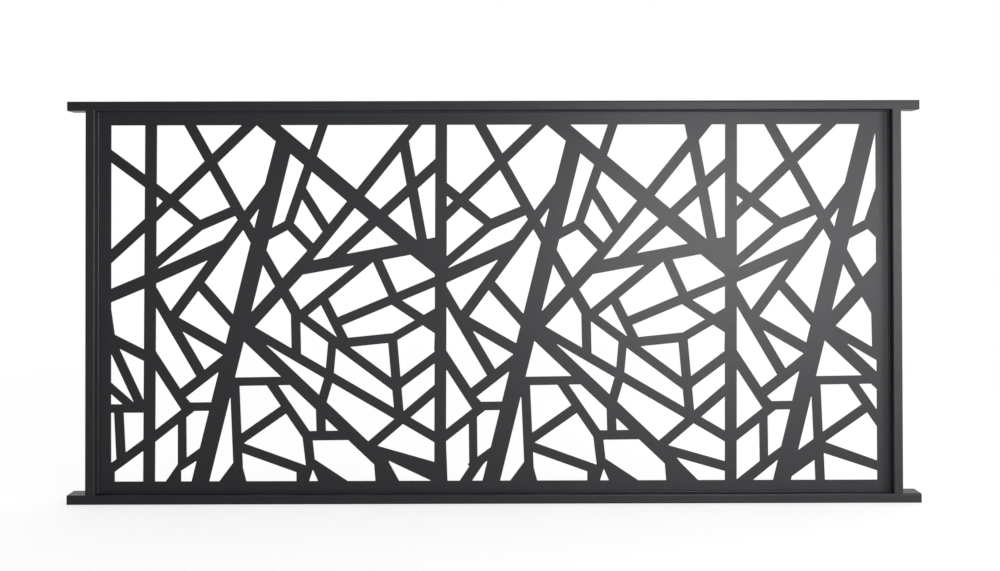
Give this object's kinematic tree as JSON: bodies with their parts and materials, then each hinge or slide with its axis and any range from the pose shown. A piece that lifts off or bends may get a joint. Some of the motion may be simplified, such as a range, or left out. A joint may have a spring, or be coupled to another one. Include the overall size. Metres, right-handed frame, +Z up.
{
  "type": "aluminium fence panel",
  "caption": "Fence panel: welded rectangular-tube frame with rail ends for posts, filled with a sheet cut through in a lattice of crossing branches, dark powder coat.",
  "frame": {"origin": "middle of the bottom rail's underside", "axes": "+X along the panel to the right seen from the front, -Y towards the front, +Z up"},
  "size_m": [1.8, 0.04, 0.85],
  "materials": {
    "frame": "satin",
    "sheet": "satin",
    "caps": "satin"
  },
  "bodies": {
    "root": {"bottom_rail": "frame", "top_rail": "frame", "left_upright": "frame", "right_upright": "frame", "lattice_sheet": "sheet", "front_weld": "frame", "rear_weld": "frame", "bottom_left_cap": "caps", "bottom_right_cap": "caps", "top_left_cap": "caps", "top_right_cap": "caps"}
  },
  "joints": []
}
